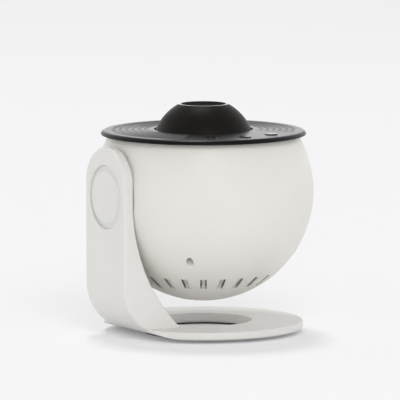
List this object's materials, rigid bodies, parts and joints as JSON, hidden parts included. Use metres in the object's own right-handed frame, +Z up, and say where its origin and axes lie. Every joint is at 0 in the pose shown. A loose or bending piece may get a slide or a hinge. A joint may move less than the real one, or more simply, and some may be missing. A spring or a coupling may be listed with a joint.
{
  "type": "planetarium projector",
  "caption": "Ball-shaped home planetarium projector with a black ribbed cover, focus dome and buttons, tilting on a C-shaped stand with a ring base.",
  "frame": {"origin": "on the table plane, under the centre of the ball and of the round base", "axes": "+Z up; front with the buttons towards -Y; the stand's arm on the -X side, so the tilt axis runs along X"},
  "size_m": [0.1524, 0.15, 0.1563],
  "materials": {
    "shell_plastic": "satin off-white moulded plastic",
    "stand_plastic": "satin off-white moulded plastic",
    "cover_plastic": "polished black with a soft sheen",
    "dome_plastic": "polished black",
    "button_plastic": "polished black",
    "black_plastic": "matt black",
    "inner_plastic": "matt dark grey",
    "slide_plastic": "natural acetal",
    "foot_rubber": "matt black",
    "steel": "zinc-plated",
    "aluminium": "bare",
    "lens_glass": "polished",
    "film": "printed film",
    "board": "green solder mask",
    "cell_wrap": "plastic wrap on a metal can"
  },
  "bodies": {
    "stand": {"stand_bracket": "stand_plastic", "foot_ring": "foot_rubber", "pivot_cap": "stand_plastic"},
    "head": {"thrust_washer": "slide_plastic", "friction_washer": "foot_rubber", "pivot_plate": "steel", "pivot_screw": "steel", "hub_screws": "steel", "tilt_hub": "inner_plastic", "lower_shell": "shell_plastic", "vent_baffle": "shell_plastic", "top_cover": "cover_plastic", "button_board": "board", "button_board_screws": "steel", "tact_switches": "black_plastic", "lens_guide": "black_plastic", "guide_screws": "steel", "chassis": "inner_plastic", "gear_motor": "steel", "motor_clamp": "steel", "motor_screws": "steel", "lamp_housing": "black_plastic", "lamp_screws": "steel", "heat_sink_screws": "steel", "condenser_upper": "lens_glass", "condenser_lower": "lens_glass", "condenser_spacer": "black_plastic", "condenser_clamp": "black_plastic", "led_board": "aluminium", "led_emitter": "lens_glass", "heat_sink": "aluminium", "main_board": "board", "main_board_screws": "steel", "board_components": "black_plastic", "charging_port": "steel", "battery_cell": "cell_wrap", "battery_cradle": "black_plastic", "battery_screws": "steel", "housing_screws": "steel", "deck_screws": "steel"},
    "focus": {"focus_dome": "dome_plastic", "focus_retainer": "steel"},
    "lens": {"lens_barrel": "dome_plastic", "cam_pins": "steel", "front_lens": "lens_glass", "lens_spacer": "black_plastic", "rear_lens": "lens_glass", "lens_retainer": "black_plastic"},
    "disc": {"disc_carrier": "slide_plastic", "film_disc": "film", "disc_ring": "black_plastic", "carrier_retainer": "steel"},
    "pinion": {"motor_shaft": "steel", "motor_pinion": "slide_plastic"},
    "timer_button": {"timer_button": "button_plastic"},
    "power_button": {"power_button": "button_plastic"},
    "rotation_button": {"rotation_button": "button_plastic"}
  },
  "joints": [
    {"name": "head_tilt", "type": "hinge", "parent": "stand", "child": "head", "pos_m": [0, 0, 0.0966], "axis": [1, 0, 0], "range_deg": [-90, 90]},
    {"name": "focus_turn", "type": "hinge", "parent": "head", "child": "focus", "pos_m": [0, 0, 0.0966], "axis": [0, 0, 1], "range_deg": [-55, 55]},
    {"name": "lens_slide", "type": "slide", "parent": "head", "child": "lens", "axis": [0, 0, 1], "range_m": [-0.0014, 0.0014]},
    {"name": "disc_spin", "type": "hinge", "parent": "head", "child": "disc", "pos_m": [0, 0, 0.0966], "axis": [0, 0, 1], "continuous": true},
    {"name": "pinion_spin", "type": "hinge", "parent": "head", "child": "pinion", "pos_m": [0.0336, 0, 0.0966], "axis": [0, 0, 1], "continuous": true},
    {"name": "timer_press", "type": "slide", "parent": "head", "child": "timer_button", "axis": [0, 0, -1], "range_m": [0, 0.0005], "stiffness_N_per_m": 400, "springref_m": -0.0004},
    {"name": "power_press", "type": "slide", "parent": "head", "child": "power_button", "axis": [0, 0, -1], "range_m": [0, 0.0005], "stiffness_N_per_m": 400, "springref_m": -0.0004},
    {"name": "rotation_press", "type": "slide", "parent": "head", "child": "rotation_button", "axis": [0, 0, -1], "range_m": [0, 0.0005], "stiffness_N_per_m": 400, "springref_m": -0.0004}
  ],
  "couplings": [
    {"joint": "lens_slide", "follows": "focus_turn", "m_per_rad": -0.0014324},
    {"joint": "pinion_spin", "follows": "disc_spin", "ratio": -6}
  ]
}
